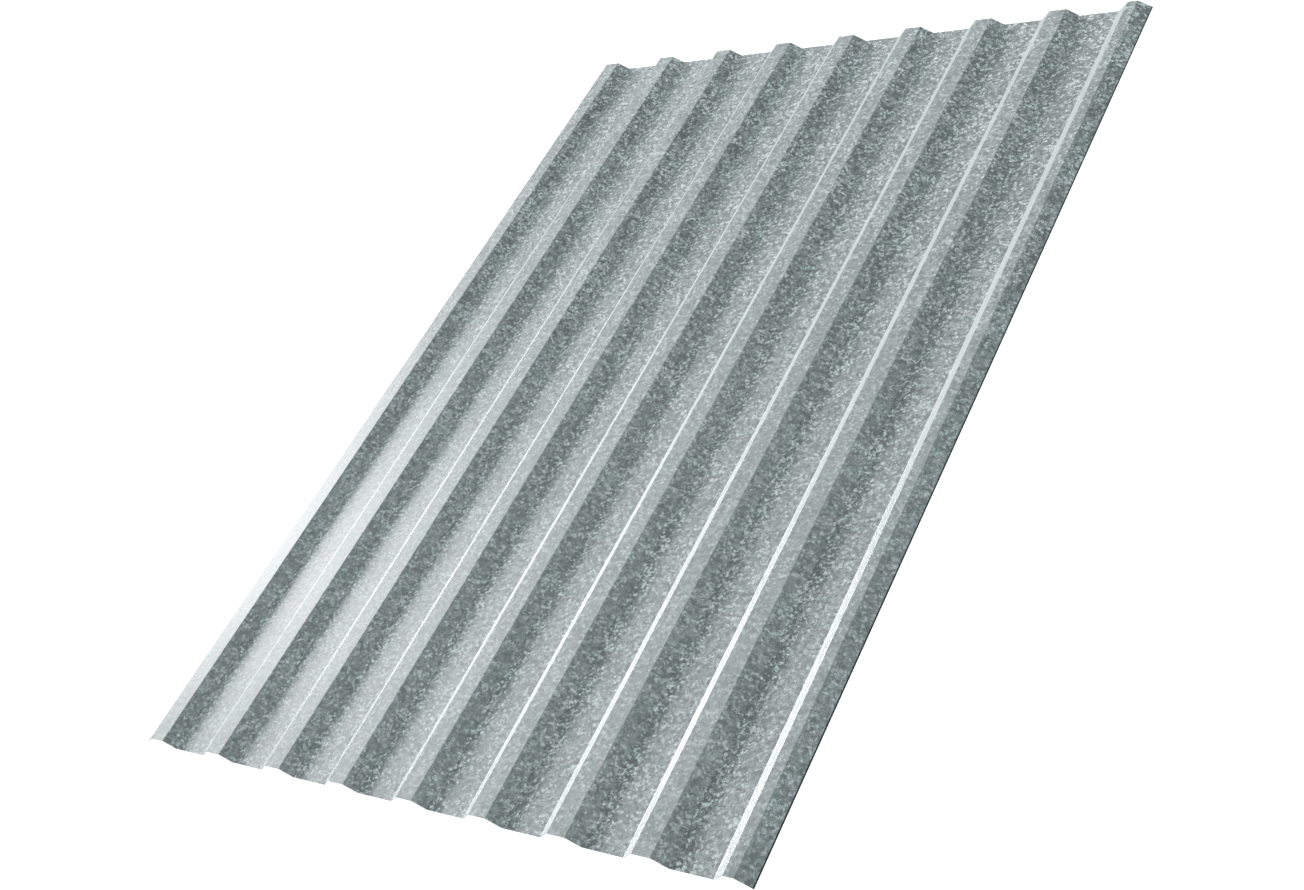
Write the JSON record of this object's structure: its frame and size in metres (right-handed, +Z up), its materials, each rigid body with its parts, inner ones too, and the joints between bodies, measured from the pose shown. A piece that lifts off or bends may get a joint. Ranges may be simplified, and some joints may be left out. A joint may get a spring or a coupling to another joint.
{
  "type": "corrugated metal sheet",
  "caption": "Long sheet of thin galvanised steel, roll formed into shallow trapezoidal ribs with wide flat valleys; a narrower rib along one edge goes under the next sheet.",
  "frame": {"origin": "on the ground under the middle of the sheet: the centre of its outline, level with the underside of the valleys", "axes": "+X across the ribs, towards the edge with the narrower rib; +Y along the ribs; +Z up, out of the valleys"},
  "size_m": [1.1582, 1.7, 0.017],
  "materials": {
    "zinc_coated_steel": "galvanised, with a fine spangle"
  },
  "bodies": {
    "root": {"profiled_sheet": "zinc_coated_steel"}
  },
  "joints": []
}
